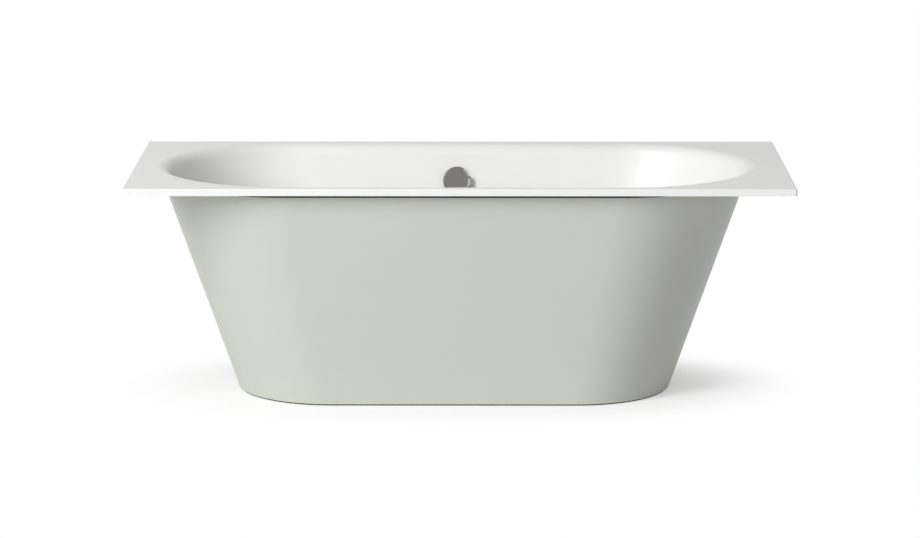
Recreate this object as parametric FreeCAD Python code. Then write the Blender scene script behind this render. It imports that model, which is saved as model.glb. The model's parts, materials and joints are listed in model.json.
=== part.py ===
import FreeCAD, Part
import math
import os

# Back-to-wall bath: a pressed, enamelled steel shell with a flat rectangular rim
# and an oval well, on a leg frame inside a tapered oval skirt. A turning knob on
# the rear wall lifts the plug through a control cable, and drains the overflow.
#
# Millimetres. The origin is on the floor under the middle of the rim. +X runs
# along the bath, +Y points to the wall behind it and +Z is up.

V = FreeCAD.Vector
UP = V(0, 0, 1)
BACK = V(0, 1, 0)
ALONG = V(1, 0, 0)

# ---- Rim and shell ---------------------------------------------------------
rim_length = 1700.0
rim_width = 750.0
rim_height = 590.0
lip_drop = 18.0               # height of the folded outer edge
steel = 3.5                   # enamelled sheet, the same all over
rim_corner = 6.0              # plan radius of the rim's four corners
rim_edge = 2.5                # radius along the rim's outer top edge

# ---- Well ------------------------------------------------------------------
well_shift = -9.0             # middle of the well, along X
floor_height = 170.0          # inside of the well's floor, above the ground
well_end_ledge = 91.5         # rim's edge to where an end wall would cut its plane
well_side_ledge = 49.0        # the same for a side wall
well_end_batter = 205.5       # how far an end wall leans in, from the rim to the floor
well_side_batter = 105.0
rim_roundover = 36.0          # radius from the rim down into the well
floor_radius = 90.0           # radius from the walls into the floor

# ---- Skirt -----------------------------------------------------------------
skirt_shift = -16.0           # middle of the skirt, along X
skirt_end_setback = 81.5      # rim's edge to the skirt, at the lower edge of the lip
skirt_side_setback = 26.0
skirt_end_taper = 200.0       # how far an end leans in, from there to the ground
skirt_side_taper = 99.0
skirt_wall = 4.0
skirt_rise = 3.0              # how far the skirt goes up behind the lip
hem_width = 14.0              # inward fold along the foot
hem_thickness = 4.0
foot_gap = 3.5                # height of the dark seal that the skirt stands on
foot_seal_recess = 2.5        # the seal lies this far inside the skirt's face
trim_leg = 1.8                # rubber each side of the skirt's top edge
trim_lap = 12.0               # how far the rubber reaches down the skirt

# ---- Rear doorway in the skirt, for the pipes ------------------------------
doorway_side_gap = 55.0       # between its sides and the fixing blocks, on average
doorway_headroom = 27.0       # from the lip's lower edge down to the doorway
doorway_corner = 30.0
doorway_fold = 12.0           # stiffening fold round the doorway

# ---- Leg frame -------------------------------------------------------------
bar_setback = 23.5            # from the end of the skirt's straight foot to a crossbar
bar_width = 40.0
bar_height = 30.0
bar_sheet = 2.0
bar_end_gap = 4.0
pad_thickness = 6.0           # bonding pads between bar and shell
pad_length = 80.0
pad_offset = 95.0             # middle of a pad, along Y
foot_offset = 170.0           # middle of a foot, along Y
stud_radius = 6.0
stud_hole_clearance = 1.0     # round a stud, in the crossbar's top
stud_top_gap = 16.0           # from the shell's underside to the stud's top
nut_across_flats = 18.0
nut_height = 10.0
thread_clearance = 0.05
foot_radius = 27.0
foot_top_radius = 13.0
foot_rim = 5.0
foot_height = 24.0
foot_stud_cover = 6.0         # plastic under the stud

# ---- Skirt fixings ---------------------------------------------------------
block_width = 50.0
block_drop = 40.5             # from the crossbar's top to the block's lower edge
block_height = 45.0
block_depth = 7.0             # at the block's lower edge
bracket_sheet = 3.0
bracket_width = 34.0
bracket_seat = 40.0           # length of the bracket's leg on the bar
bracket_drop = 36.0           # length of its leg down the block
bolt_setback = 24.0           # from the block's face to the bolt
bolt_radius = 4.0
bolt_head_flats = 13.0
bolt_head_height = 5.3
bolt_hole_clearance = 0.25
screw_radius = 2.5
screw_head_radius = 5.0
screw_head_height = 3.5
screw_grip = 6.0

# ---- Small parts on the shell ----------------------------------------------
mat_thickness = 2.5
mat_start = 70.0              # from the well's middle to a mat, along X
mat_bar_gap = 25.0            # from the mat to the crossbar
mat_width = 260.0
tab_offset = 365.0            # earthing tab, along X from the well's middle
tab_length = 22.0
tab_width = 26.0
tab_drop = 26.0
tab_sheet = 3.0
tab_bolt_radius = 3.0
tab_bolt_flats = 10.0
tab_bolt_head = 4.0
tab_nut_height = 5.0
tab_bolt_spare = 5.0

# ---- Waste fitting ---------------------------------------------------------
drain_offset = 60.0           # drain, along Y from the well's middle
drain_hole = 26.0             # radius
recess_radius = 43.0
recess_depth = 3.0
recess_flare = 3.0
flange_radius = 41.5
flange_thickness = 2.2
flange_seal = 1.0
flange_seal_radius = 41.0
waste_tube_outer = 23.4
waste_tube_inner = 21.0
waste_tube_length = 24.0
seat_depth = 4.0              # 45 degree seat for the plug
guide_radius = 7.0
guide_height = 6.0
guide_arm = 2.4
lower_seal = 2.0
lower_seal_radius = 40.0
waste_rim_radius = 41.0
waste_rim_height = 4.0
cup_outer = 30.0
cup_inner = 27.0
cup_drop = 74.0               # from the well's floor to the cup's underside
cup_bottom = 4.0
neck_height = 13.5
tail_bore = 20.0

# ---- Plug and its lift -----------------------------------------------------
plug_radius = 31.0
plug_edge = 2.4
plug_crown = 2.2
plug_gap = 0.5
plug_hub_radius = 18.5
plug_hub_height = 5.0
plug_seal_height = 2.5
seal_clearance = 0.3
stem_radius = 4.0
running_clearance = 0.05
plug_travel = 12.0
lever_reach = 20.0
lever_drop = 58.0             # from the well's floor to the lever's shaft
lever_thickness = 4.0
lever_width = 8.0
lever_hub = 5.5
lever_nose = 4.0
shaft_radius = 3.0
shaft_boss = 7.0
shaft_boss_end = 36.0         # along X from the drain
crank_gap = 1.0
crank_thickness = 4.0
crank_hub = 6.0
crank_tip = 3.5
crank_pin = 1.5
crank_pin_length = 6.0
eye_radius = 4.5
eye_thickness = 3.0
eye_slack = 0.5
rod_radius = 1.0
bracket_clear = 4.0
cable_bracket = 5.0
ferrule_radius = 3.5
ferrule_guide = 24.0
ferrule_grip = 16.0
ferrule_lead = 2.0

# ---- Overflow fitting ------------------------------------------------------
overflow_drop = 97.0          # its middle, below the rim
overflow_hole = 26.0          # radius
overflow_seal_thickness = 2.0
overflow_seal_radius = 35.0
overflow_flange_radius = 36.0
overflow_flange = 4.0
overflow_cup_outer = 28.0
overflow_cup_inner = 25.0
overflow_cup_wall = 3.0
face_seal_thickness = 1.0
face_seal_radius = 32.0
plate_radius = 33.0
plate_thickness = 3.0
plate_bore = 24.5
plate_arm = 11.0
plate_hub = 9.0
plate_hub_height = 3.0
clamp_screw_offset = 20.0
clamp_boss = 4.0
clamp_screw_radius = 2.0
clamp_screw_head = 3.8
clamp_screw_head_height = 1.6
clamp_screw_length = 26.0
spindle_radius = 5.0
spindle_seat = 6.0
drum_radius = 9.0
drum_flange = 11.0
drum_width = 8.0
drum_groove = 3.0
drum_depth = 13.0             # middle of the drum, behind the shell

# ---- Knob ------------------------------------------------------------------
knob_radius = 38.0
knob_thickness = 13.0
knob_gap = 1.0                # between the knob and the plate's hub
knob_bevel = 2.0
knob_crown = 1.6
knob_socket = 9.0
notch_radius = 16.4
notch_depth = 11.0
notch_angle = 40.0            # from +X, seen from inside the bath
knob_turn = 100.0             # degrees from closed to open

# ---- Overflow pipe ---------------------------------------------------------
pipe_radius = 16.0
pipe_wall = 2.0
pipe_bend = 60.0
pipe_inlet_drop = 36.0        # from the well's floor to the pipe's level stretch
socket_wall = 3.8
socket_clearance = 0.2
socket_stop = 34.0            # from the cup's axis to the pipe's end
socket_reach = 56.0           # from the cup's axis to the socket's mouth
pipe_seal_length = 4.0
pipe_nut_radius = 25.0
pipe_nut_wall_gap = 3.5
pipe_nut_length = 18.0
pipe_nut_lip = 4.0
flute_radius = 2.5
flute_count = 12

# ---- Trap ------------------------------------------------------------------
trap_radius = 20.0            # outside of the 40 mm pipe
trap_wall = 1.9
trap_bend = 33.0
union_thread = 23.9
union_nut_radius = 31.0
union_nut_length = 20.0
union_collar = 3.0
union_gasket = 1.0
union_lip = 4.0
union_clearance = 0.2
tail_length = 22.0
trap_leg = 6.0                # straight pipe between a union and its bend
trap_riser = 18.0             # straight pipe above the U, on the outlet side
outlet_projection = 55.0      # how far the outlet stands out behind the skirt
outlet_spigot = 50.0          # straight end that a drain pipe's socket slides over
outlet_stop_radius = 22.5
outlet_stop_width = 3.0

# ---- Control cable ---------------------------------------------------------
bend_share = 0.45             # how much of a straight run each bend may take up
cable_radius = 2.5
gland_radius = 6.0
gland_end = 34.0              # from the overflow's axis
cable_start = 30.0
cable_out = 62.0              # where the cable starts to turn down
cable_side = 88.0             # its run down the wall, along X from the drain
cable_turn_in = 47.0          # last straight stretch before the lower ferrule
clip_width = 12.0
clip_wall = 4.0
clip_drops = (90.0, 200.0)    # down the wall from the overflow

# ---- Working margins -------------------------------------------------------
margin = 1.0                  # a cut starts this far outside; joined pieces lap by it
near = 0.01                   # two heights this close are the same
bend_gap = 0.001              # straight left between two bends that all but touch

# ---- Places worked out from these ------------------------------------------
floor_top = floor_height
well_depth = rim_height - floor_height
well_length_top = rim_length - 2 * well_end_ledge
well_width_top = rim_width - 2 * well_side_ledge
well_length_floor = well_length_top - 2 * well_end_batter
well_width_floor = well_width_top - 2 * well_side_batter
skirt_length_top = rim_length - 2 * skirt_end_setback
skirt_width_top = rim_width - 2 * skirt_side_setback
skirt_length_foot = skirt_length_top - 2 * skirt_end_taper
skirt_width_foot = skirt_width_top - 2 * skirt_side_taper
floor_under = floor_top - steel
end_slope = well_end_batter / well_depth
side_slope = well_side_batter / well_depth
skirt_span = rim_height - lip_drop
skirt_end_slope = skirt_end_taper / skirt_span
skirt_side_slope = skirt_side_taper / skirt_span
skirt_top = skirt_span + skirt_rise
doorway_top = skirt_span - doorway_headroom
skirt_run = (skirt_length_foot - skirt_width_foot) / 2
bar_spacing = 2 * (skirt_run - bar_setback)
doorway_width = bar_spacing - block_width - 2 * doorway_side_gap
bar_places = (well_shift - bar_spacing / 2, well_shift + bar_spacing / 2)
bar_top = floor_under - pad_thickness
bar_low = bar_top - bar_height
block_low = bar_top - block_drop
block_high = block_low + block_height
drain_x = well_shift
drain_y = drain_offset

# Plug, seat and lever
cup_floor = floor_top - cup_drop
lever_height = floor_top - lever_drop
pipe_inlet_height = floor_top - pipe_inlet_drop
seat_floor = floor_top - recess_depth
flange_low = seat_floor + flange_seal
flange_top = flange_low + flange_thickness
recess_under = seat_floor - steel
waste_rim_top = recess_under - lower_seal
waste_rim_low = waste_rim_top - waste_rim_height
plug_low = flange_top + plug_gap
lever_y = drain_y + lever_reach
lever_swing = 2 * math.degrees(math.asin(plug_travel / 2 / lever_reach))
stem_low = lever_height - plug_travel / 2 + lever_nose + seal_clearance
cable_pull = drum_radius * math.radians(knob_turn)
crank_reach = cable_pull / math.radians(lever_swing)
crank_x = drain_x + shaft_boss_end + crank_gap
eye_x = crank_x + crank_thickness + crank_gap + eye_thickness / 2
rod_height = lever_height + crank_reach * (1 + math.cos(math.radians(lever_swing / 2))) / 2
eye_y = lever_y - cable_pull / 2
bracket_y = lever_y + cable_pull / 2 + eye_radius + bracket_clear

# Overflow, in the frame of the rear wall: its X is ALONG, its Y is up the wall
# and its Z points into the bath, from the wall's inner face.
lean = math.atan(side_slope)
overflow_z = rim_height - overflow_drop
overflow_y = well_width_floor / 2 + side_slope * (overflow_z - floor_top)
wall_frame = FreeCAD.Placement(V(drain_x, overflow_y, overflow_z),
                               FreeCAD.Rotation(ALONG, 90 - math.degrees(lean)))
pipe_standoff = steel + pipe_nut_wall_gap + pipe_nut_radius
body_front = -steel - overflow_seal_thickness
body_back = -pipe_standoff - pipe_radius - overflow_cup_wall
plate_low = face_seal_thickness
hub_top = plate_low + plate_thickness + plate_hub_height
knob_back = hub_top + knob_gap
knob_front = knob_back + knob_thickness
drum_middle = -steel - drum_depth
clamp_tip = plate_low + plate_thickness - clamp_screw_head_height - clamp_screw_length


# ---- Shapes used all over --------------------------------------------------
def box(x, y, z):
    """A block between two values of x, of y and of z."""
    return Part.makeBox(x[1] - x[0], y[1] - y[0], z[1] - z[0], V(x[0], y[0], z[0]))


def rod(radius, start, end):
    """A round bar from one point to another."""
    run = end - start
    return Part.makeCylinder(radius, run.Length, start, run)


def ring(outer, inner, start, end):
    """A tube from one point to another."""
    return rod(outer, start, end).cut(rod(inner, start, end))


def hexagon(across_flats, start, end):
    """A six-sided bar from one point to another, with two flats facing sideways."""
    run = end - start
    side = run.cross(ALONG)
    if side.Length < near:
        side = run.cross(BACK)
    side.normalize()
    side = side * (across_flats / math.sqrt(3))
    corners = []
    for turn in range(7):
        corners.append(start + FreeCAD.Rotation(run, 60 * turn).multVec(side))
    return Part.Face(Part.makePolygon(corners)).extrude(run)


def turned(outline, centre):
    """A solid of revolution about a vertical axis, from (radius, height) points."""
    corners = [centre + V(radius, 0, height) for radius, height in outline]
    face = Part.Face(Part.makePolygon(corners + corners[:1]))
    return face.revolve(centre, UP, 360)


def plate_outline(outline, x_low, x_high):
    """A flat plate, drawn as (y, z) points and given its thickness along X."""
    corners = [V(x_low, y, z) for y, z in outline]
    face = Part.Face(Part.makePolygon(corners + corners[:1]))
    return face.extrude(V(x_high - x_low, 0, 0))


def joined(shapes):
    """Touching or crossing shapes as one solid."""
    whole = shapes[0].multiFuse(shapes[1:])
    return whole.removeSplitter()


def edges_where(shape, test):
    """The edges of a shape whose bounding box passes a test."""
    return [edge for edge in shape.Edges if test(edge.BoundBox)]


def is_level(bounds, height):
    """True for an edge that lies at one height."""
    return abs(bounds.ZMin - height) < near and abs(bounds.ZMax - height) < near


def stadium(half_length, half_width, centre, height):
    """An outline of two straight sides and two half circles."""
    run = half_length - half_width
    bow = half_width * math.sqrt(0.5)
    left = centre - run
    right = centre + run

    def corner(x, y):
        return V(x, y, height)

    def arc(first, middle, last):
        return Part.Arc(first, middle, last).toShape()

    front_right = corner(right, -half_width)
    back_right = corner(right, half_width)
    front_left = corner(left, -half_width)
    back_left = corner(left, half_width)
    tip_right = corner(centre + half_length, 0)
    tip_left = corner(centre - half_length, 0)
    return Part.Wire([
        Part.makeLine(front_left, front_right),
        arc(front_right, corner(right + bow, -bow), tip_right),
        arc(tip_right, corner(right + bow, bow), back_right),
        Part.makeLine(back_right, back_left),
        arc(back_left, corner(left - bow, bow), tip_left),
        arc(tip_left, corner(left - bow, -bow), front_left),
    ])


def rounded_route(points, bends):
    """Straight runs through the points, with a tangent arc at each corner."""
    edges = []
    start = points[0]
    for before, corner, after, bend in zip(points, points[1:], points[2:], bends):
        inward = (before - corner).normalize()
        outward = (after - corner).normalize()
        half = inward.getAngle(outward) / 2
        first = corner + inward * (bend / math.tan(half))
        last = corner + outward * (bend / math.tan(half))
        middle = corner + (inward + outward).normalize() * (bend / math.sin(half) - bend)
        edges.append(Part.LineSegment(start, first).toShape())
        edges.append(Part.Arc(first, middle, last).toShape())
        start = last
    edges.append(Part.LineSegment(start, points[-1]).toShape())
    return Part.Wire(edges)


def bent_rod(radius, points, bends):
    """A round bar along a rounded route."""
    route = rounded_route(points, bends)
    section = Part.Wire(Part.makeCircle(radius, points[0], points[1] - points[0]))
    return route.makePipeShell([section], True, True)


def on_wall(shape):
    """Moves a shape from the rear wall's frame to its place."""
    return shape.transformed(wall_frame.toMatrix(), True)


def wall_point(x, y, z):
    """A point given in the rear wall's frame."""
    return wall_frame.multVec(V(x, y, z))


# ---- Shell -----------------------------------------------------------------
def bowl(growth, low, high, radius):
    """The well as a solid, its walls moved outwards by growth."""
    ends = growth * math.sqrt(1 + end_slope ** 2)
    sides = growth * math.sqrt(1 + side_slope ** 2)

    def outline(height):
        rise = height - floor_top
        half_length = well_length_floor / 2 + end_slope * rise + ends
        half_width = well_width_floor / 2 + side_slope * rise + sides
        return stadium(half_length, half_width, well_shift, height)

    solid = Part.makeLoft([outline(low), outline(high)], True, True)
    return solid.makeFillet(radius, edges_where(solid, lambda b: is_level(b, low)))


def rim_block(inset, low, high, corner):
    """The rim's rectangle with rounded corners."""
    half_length = rim_length / 2 - inset
    half_width = rim_width / 2 - inset
    block = box((-half_length, half_length), (-half_width, half_width), (low, high))
    upright = edges_where(block, lambda b: b.ZLength > (high - low) / 2)
    return block.makeFillet(corner, upright)


def rim_tray():
    """The flat rim with its folded edge, before the well is pressed."""
    low = rim_height - lip_drop
    tray = rim_block(0, low, rim_height, rim_corner)
    tray = tray.makeFillet(rim_edge, edges_where(tray, lambda b: is_level(b, rim_height)))
    return tray.cut(rim_block(steel, low, rim_height - steel, rim_corner - steel))


def inside_rim(bounds):
    """True for an edge of the well, and false for one of the rim's outline."""
    reach = rim_width / 2 - 2 * steel
    return bounds.YMin > -reach and bounds.YMax < reach


def drain_seat():
    """What the pressed recess round the drain adds to the shell and takes away."""
    low = V(drain_x, drain_y, recess_under)
    seat = V(drain_x, drain_y, seat_floor)
    floor = V(drain_x, drain_y, floor_top)
    added = rod(recess_radius + steel, low, floor)
    flare = Part.makeCone(recess_radius, recess_radius + recess_flare, recess_depth, seat, UP)
    hole = rod(drain_hole, low - UP * margin, floor + UP * margin)
    return added, flare.fuse(hole)


def shell_blank():
    """The shell with its well still solid: what other pieces have to clear."""
    underside = rim_height - steel
    blank = rim_tray().fuse(bowl(steel, floor_under, underside, floor_radius + steel))
    return blank.makeFillet(rim_roundover - steel, edges_where(
        blank, lambda b: is_level(b, underside) and inside_rim(b)))


def bath_shell(blank):
    """Rim, lip, well, recess and the two holes, all of one sheet thickness."""
    added, taken = drain_seat()
    shell = blank.cut(bowl(0, floor_top, rim_height + steel, floor_radius))
    shell = shell.makeFillet(rim_roundover, edges_where(
        shell, lambda b: is_level(b, rim_height) and inside_rim(b)))
    hole = rod(overflow_hole, V(0, 0, -3 * steel), V(0, 0, 2 * steel))
    return shell.fuse(added).cut(taken).cut(on_wall(hole))


# ---- Skirt -----------------------------------------------------------------
def skirt_block(low, high, inset):
    """The skirt's tapered oval as a solid, its wall moved inwards by inset."""
    ends = inset * math.sqrt(1 + skirt_end_slope ** 2)
    sides = inset * math.sqrt(1 + skirt_side_slope ** 2)

    def outline(height):
        half_length = skirt_length_foot / 2 + skirt_end_slope * height - ends
        half_width = skirt_width_foot / 2 + skirt_side_slope * height - sides
        return stadium(half_length, half_width, skirt_shift, height)

    return Part.makeLoft([outline(low), outline(high)], True, True)


def skirt_ring(low, high, outer, inner):
    """A band that follows the skirt, between two insets from its face."""
    return skirt_block(low, high, outer).cut(skirt_block(low, high, inner))


def skirt_face(height, inset):
    """How far the skirt's long sides are from the middle at a height."""
    side = skirt_width_foot / 2 + skirt_side_slope * height
    return side - inset * math.sqrt(1 + skirt_side_slope ** 2)


def doorway(growth):
    """The rear doorway as a solid, its sides and top moved outwards by growth."""
    half = doorway_width / 2 + growth
    opening = box((skirt_shift - half, skirt_shift + half), (0, rim_width),
                  (-margin, doorway_top + growth))
    corners = edges_where(opening, lambda b: b.YLength > rim_width / 2
                          and b.ZMin > doorway_top / 2)
    return opening.makeFillet(doorway_corner + growth, corners)


def skirt():
    """Wall, hem and the fold round the rear doorway."""
    wall = skirt_ring(foot_gap, skirt_top, 0, skirt_wall)
    hem = skirt_ring(foot_gap, foot_gap + hem_thickness, 0, skirt_wall + hem_width)
    fold = skirt_ring(foot_gap, skirt_top, 0, skirt_wall + doorway_fold)
    fold = fold.common(doorway(skirt_wall))
    return joined([wall, hem, fold]).cut(doorway(0))


def skirt_foot_seal():
    """The dark strip that the skirt stands on."""
    strip = skirt_ring(0, foot_gap, foot_seal_recess, skirt_wall + hem_width)
    return strip.cut(doorway(0))


def skirt_top_trim(blank, panel):
    """Rubber over the skirt's top edge, up to the rim's underside."""
    low = skirt_top - trim_lap
    strip = skirt_ring(low, rim_height - steel, -trim_leg, skirt_wall + trim_leg)
    return strip.cut(panel).cut(blank)


def side_blocks():
    """The four blocks bonded to the inside of the skirt's long walls."""
    low_face = skirt_face(block_low, skirt_wall)
    high_face = skirt_face(block_high, skirt_wall)
    inner = low_face - block_depth
    blocks = []
    for middle in bar_places:
        for side in (-1, 1):
            outline = [(side * inner, block_low), (side * low_face, block_low),
                       (side * high_face, block_high), (side * inner, block_high)]
            blocks.append(plate_outline(outline, middle - block_width / 2,
                                        middle + block_width / 2))
    return blocks


block_face = skirt_face(block_low, skirt_wall) - block_depth
bracket_face = block_face - bracket_sheet
bar_end = bracket_face - bar_end_gap
bracket_bolt_y = block_face - bolt_setback
screw_height = bar_top + bracket_sheet - bracket_drop / 2


def both_ways(side, low, high):
    """A range of y on the front or the back of the bath."""
    return tuple(sorted((side * low, side * high)))


def each_corner(make):
    """Calls make(x, side) at each end of each crossbar."""
    return [make(x, side) for x in bar_places for side in (-1, 1)]


def skirt_fixings():
    """Blocks, brackets, bolts, nuts and screws that tie the skirt to the bars."""
    hole = bolt_radius + bolt_hole_clearance
    seat_top = bar_top + bracket_sheet

    def bracket(x, side):
        wide = (x - bracket_width / 2, x + bracket_width / 2)
        seat = box(wide, both_ways(side, block_face - bracket_seat, block_face),
                   (bar_top, seat_top))
        drop = box(wide, both_ways(side, bracket_face, block_face),
                   (seat_top - bracket_drop, seat_top))
        bolt_at = V(x, side * bracket_bolt_y, bar_top - margin)
        screw_at = V(x, side * (bracket_face - margin), screw_height)
        through = bracket_sheet + 2 * margin
        plate = joined([seat, drop])
        plate = plate.cut(rod(hole, bolt_at, bolt_at + UP * through))
        return plate.cut(rod(screw_radius, screw_at, screw_at + BACK * side * through))

    def bolt(x, side):
        foot = V(x, side * bracket_bolt_y, bar_top - bar_sheet - nut_height)
        top = V(x, side * bracket_bolt_y, seat_top)
        return joined([rod(bolt_radius, foot, top),
                       hexagon(bolt_head_flats, top, top + UP * bolt_head_height)])

    def nut(x, side):
        top = V(x, side * bracket_bolt_y, bar_top - bar_sheet)
        low = top - UP * bolt_head_height
        return hexagon(bolt_head_flats, low, top).cut(rod(bolt_radius, low, top))

    def screw(x, side):
        head = V(x, side * (bracket_face - screw_head_height), screw_height)
        face = V(x, side * bracket_face, screw_height)
        tip = V(x, side * (block_face + screw_grip), screw_height)
        return joined([rod(screw_head_radius, head, face), rod(screw_radius, face, tip)])

    screws = each_corner(screw)
    blocks = [block.cut(Part.makeCompound(screws)) for block in side_blocks()]
    parts["skirt_fixing_blocks"] = blocks
    parts["skirt_brackets"] = each_corner(bracket)
    parts["bracket_bolts"] = each_corner(bolt)
    parts["bracket_nuts"] = each_corner(nut)
    parts["block_screws"] = screws


# ---- Leg frame -------------------------------------------------------------
def crossbar(middle):
    """An upside-down channel across the bath, with holes for studs and bolts."""
    half = bar_width / 2
    bar = box((middle - half, middle + half), (-bar_end, bar_end), (bar_low, bar_top))
    bar = bar.cut(box((middle - half + bar_sheet, middle + half - bar_sheet),
                      (-bar_end - margin, bar_end + margin),
                      (bar_low - margin, bar_top - bar_sheet)))
    for y, radius in ((foot_offset, stud_radius + stud_hole_clearance),
                      (bracket_bolt_y, bolt_radius + bolt_hole_clearance)):
        for side in (-1, 1):
            low = V(middle, side * y, bar_top - 2 * bar_sheet)
            bar = bar.cut(rod(radius, low, low + UP * 3 * bar_sheet))
    return bar


def leg_frame():
    """Crossbars, their pads on the shell, and the nuts that carry the feet."""
    parts["left_crossbar"] = [crossbar(bar_places[0])]
    parts["right_crossbar"] = [crossbar(bar_places[1])]
    bore = stud_radius + thread_clearance

    def pad(x, side):
        return box((x - bar_width / 2, x + bar_width / 2),
                   both_ways(side, pad_offset - pad_length / 2, pad_offset + pad_length / 2),
                   (bar_top, floor_under))

    def nut(x, side, top):
        high = V(x, side * foot_offset, top)
        low = high - UP * nut_height
        return hexagon(nut_across_flats, low, high).cut(rod(bore, low, high))

    weld_top = bar_top - bar_sheet
    parts["bar_pads"] = each_corner(pad)
    parts["weld_nuts"] = each_corner(lambda x, side: nut(x, side, weld_top))
    parts["lock_nuts"] = each_corner(lambda x, side: nut(x, side, weld_top - nut_height))


def feet():
    """Four studs and their plastic feet, each pair a body of its own."""
    for x, across in zip(bar_places, ("left", "right")):
        for side, depth in ((-1, "front"), (1, "rear")):
            place = V(x, side * foot_offset, 0)
            low = place + UP * foot_stud_cover
            top = place + UP * (floor_under - stud_top_gap)
            stud = rod(stud_radius, low, top)
            pad = turned([(0, 0), (foot_radius, 0), (foot_radius, foot_rim),
                          (foot_top_radius, foot_height), (0, foot_height)], place)
            name = depth + "_" + across
            parts[name + "_stud"] = [stud]
            parts[name + "_foot"] = [pad.cut(stud)]


# ---- Small parts on the shell ----------------------------------------------
def sound_mats():
    """Damping mats bonded under the floor, between the drain and the bars."""
    mat_end = (bar_spacing - bar_width) / 2 - mat_bar_gap
    spans = ((well_shift - mat_end, well_shift - mat_start),
             (well_shift + mat_start, well_shift + mat_end))
    return [box(span, (-mat_width / 2, mat_width / 2), (floor_under - mat_thickness, floor_under))
            for span in spans]


def earthing():
    """The welded tab for the earth wire, with its bolt and nut."""
    x = well_shift - tab_offset
    half = tab_width / 2
    tab = box((x - tab_length, x), (-half, half), (floor_under - tab_sheet, floor_under))
    leg = box((x - tab_sheet, x), (-half, half), (floor_under - tab_drop, floor_under))
    height = floor_under - tab_drop / 2 - tab_sheet / 2
    inner = V(x - tab_sheet, 0, height)
    outer = V(x, 0, height)
    nut_end = outer + ALONG * tab_nut_height
    shank = rod(tab_bolt_radius, inner, nut_end + ALONG * tab_bolt_spare)
    head = hexagon(tab_bolt_flats, inner - ALONG * tab_bolt_head, inner)
    parts["earth_tab"] = [joined([tab, leg]).cut(shank)]
    parts["earth_bolt"] = [joined([head, shank])]
    parts["earth_nut"] = [hexagon(tab_bolt_flats, outer, nut_end).cut(shank)]


# ---- Pipe joints, the same at both ends of the overflow pipe -----------------
def pipe_socket(centre, direction):
    """Outside and hollow of a socket, with its seal and its nut."""
    mouth = centre + direction * socket_reach
    seal_end = mouth + direction * pipe_seal_length
    nut_end = seal_end + direction * pipe_nut_lip
    outer = pipe_radius + socket_wall
    stop = centre + direction * socket_stop
    hollow = rod(pipe_radius - pipe_wall, centre, stop)
    hollow = hollow.fuse(rod(pipe_radius + socket_clearance, stop, mouth))
    nut = rod(pipe_nut_radius, nut_end - direction * pipe_nut_length, nut_end)
    nut = nut.cut(rod(outer, centre, seal_end))
    nut = nut.cut(rod(pipe_radius + socket_clearance, centre, nut_end))
    side = direction.cross(ALONG).normalize() * (pipe_nut_radius + flute_radius / 2)
    for step in range(flute_count):
        place = FreeCAD.Rotation(direction, 360.0 * step / flute_count).multVec(side)
        nut = nut.cut(rod(flute_radius, centre + place, nut_end + place))
    return {"body": rod(outer, centre, mouth), "hollow": hollow, "nut": nut,
            "seal": ring(outer, pipe_radius, mouth, seal_end), "stop": stop}


waste_socket = pipe_socket(V(drain_x, drain_y, pipe_inlet_height), BACK)
overflow_socket = pipe_socket(wall_point(0, 0, -pipe_standoff),
                              wall_frame.Rotation.multVec(V(0, -1, 0)))


def wall_run_end(standoff, height):
    """How far down the rear wall a line at this standoff meets a height."""
    drop = overflow_z - standoff * math.sin(lean) - height
    return -drop / math.cos(lean)


def overflow_pipe():
    """Down along the rear wall, then level to the waste body."""
    corner = wall_point(0, wall_run_end(pipe_standoff, pipe_inlet_height), -pipe_standoff)
    points = [overflow_socket["stop"], corner, waste_socket["stop"]]
    outside = bent_rod(pipe_radius, points, [pipe_bend])
    return outside.cut(bent_rod(pipe_radius - pipe_wall, points, [pipe_bend]))


# ---- Trap ------------------------------------------------------------------
def union(face, lip_way):
    """Gasket and nut between a threaded tail and a collar. Lip_way is up or down."""
    gasket_end = face + lip_way * union_gasket
    collar_end = gasket_end + lip_way * union_collar
    nut_end = collar_end + lip_way * union_lip
    nut = rod(union_nut_radius, nut_end - lip_way * union_nut_length, nut_end)
    nut = nut.cut(rod(union_thread, nut_end - lip_way * union_nut_length, collar_end))
    nut = nut.cut(rod(trap_radius + union_clearance, collar_end, nut_end))
    side = ALONG * (union_nut_radius + flute_radius / 2)
    for step in range(flute_count):
        place = FreeCAD.Rotation(UP, 360.0 * step / flute_count).multVec(side)
        nut = nut.cut(rod(flute_radius, nut_end + place,
                          nut_end + place - lip_way * union_nut_length))
    gasket = ring(union_thread, trap_radius - trap_wall, face, gasket_end)
    return nut, gasket, gasket_end, collar_end


tail_end = cup_floor - tail_length
waste_union = union(V(drain_x, drain_y, tail_end), -UP)
trap_centre = waste_union[3].z - union_lip - trap_leg
riser_x = drain_x - 2 * trap_bend
riser_top = trap_centre + trap_riser
outlet_union = union(V(riser_x, drain_y, riser_top), UP)
outlet_height = outlet_union[3].z + union_lip + trap_leg + trap_bend
outlet_end = skirt_face(outlet_height, 0) + outlet_projection


def hollow_pipe(points, bends):
    """A bent trap pipe with its bore."""
    bore = trap_radius - trap_wall
    return bent_rod(trap_radius, points, bends), bent_rod(bore, points, bends)


def trap_bend_piece():
    """The U under the drain, with its collar and the threaded riser."""
    inlet = waste_union[2]
    bottom = trap_centre - trap_bend
    riser = V(riser_x, drain_y, riser_top)
    middle = V(drain_x - trap_bend, drain_y, bottom)
    points = [inlet, V(drain_x, drain_y, bottom), V(riser_x, drain_y, bottom), riser]
    tight = trap_bend - bend_gap
    outside, inside = hollow_pipe(points, [tight, tight])
    collar = rod(union_thread, waste_union[3], inlet)
    thread = rod(union_thread, riser - UP * (trap_riser - union_collar), riser)
    return joined([outside, collar, thread]).cut(inside)


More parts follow.
